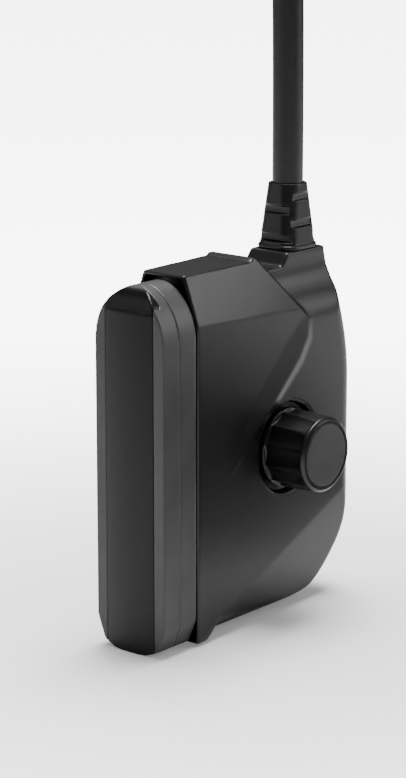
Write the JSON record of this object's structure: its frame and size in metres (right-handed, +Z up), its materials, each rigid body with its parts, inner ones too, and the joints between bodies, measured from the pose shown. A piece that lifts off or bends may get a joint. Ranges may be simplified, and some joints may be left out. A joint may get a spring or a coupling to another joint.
{
  "type": "sonar transducer",
  "caption": "Narrow upright sonar module on a plate housing with a clamp pivot, a large ribbed knob and a thick coiled cable ending in a plug.",
  "frame": {"origin": "centre of the footprint of everything but the cable and plug, on the surface it stands on", "axes": "+Z up, -Y the way the acoustic window faces, +X towards the clamp knob"},
  "size_m": [0.2392, 0.1945, 0.2979],
  "materials": {
    "window_black": "satin",
    "bezel_grey": "satin",
    "shell_grey": "satin",
    "knob_black": "satin",
    "cap_grey": "satin",
    "seal_rubber": "matte",
    "cable_jacket": "satin",
    "ceramic": "matte",
    "steel": "satin",
    "board_green": "satin",
    "chip_black": "matte",
    "standoff_brass": "satin",
    "ribbon": "satin",
    "alloy": "satin"
  },
  "bodies": {
    "transducer": {"acoustic_window": "window_black", "array_backing": "ceramic", "array_carrier": "knob_black", "array_ribbon": "ribbon", "board_chips": "chip_black", "board_connector": "chip_black", "board_screws": "steel", "board_standoffs": "standoff_brass", "bulkhead_plate": "knob_black", "cable_coil": "cable_jacket", "cable_cores": "cable_jacket", "cable_gland": "knob_black", "cable_lead": "cable_jacket", "cable_tail": "cable_jacket", "cable_ties": "knob_black", "front_bezel": "bezel_grey", "housing": "shell_grey", "inner_cable": "cable_jacket", "matching_layer": "ceramic", "module_screws": "steel", "module_seal": "seal_rubber", "module_shell": "shell_grey", "piezo_elements": "ceramic", "pivot_sleeve": "steel", "plate_screws": "steel", "plug_boot": "knob_black", "plug_insert": "knob_black", "plug_oring": "seal_rubber", "plug_pins": "standoff_brass", "plug_shell": "alloy", "processing_board": "board_green", "serrated_hub": "alloy", "sleeve_orings": "seal_rubber", "strain_relief": "knob_black", "tilt_sensor": "chip_black", "window_gasket": "seal_rubber"},
    "thrust": {"thrust_washer": "knob_black"},
    "knob": {"knob_grip": "knob_black", "knob_cap": "cap_grey", "clamp_bolt": "steel", "bolt_oring": "seal_rubber"},
    "collar": {"locking_collar": "alloy"}
  },
  "joints": [
    {"name": "knob_travel", "type": "slide", "parent": "transducer", "child": "thrust", "axis": [1, 0, 0], "range_m": [0, 0.005]},
    {"name": "knob_turn", "type": "hinge", "parent": "thrust", "child": "knob", "pos_m": [0, 0.01315, 0.0556], "axis": [1, 0, 0], "range_deg": [0, 1440]},
    {"name": "collar_spin", "type": "hinge", "parent": "transducer", "child": "collar", "pos_m": [0.1801, 0.058, 0.05043], "axis": [0, -1, 0], "continuous": true}
  ],
  "couplings": [
    {"joint": "knob_turn", "follows": "knob_travel", "rad_per_m": 5026.5}
  ]
}
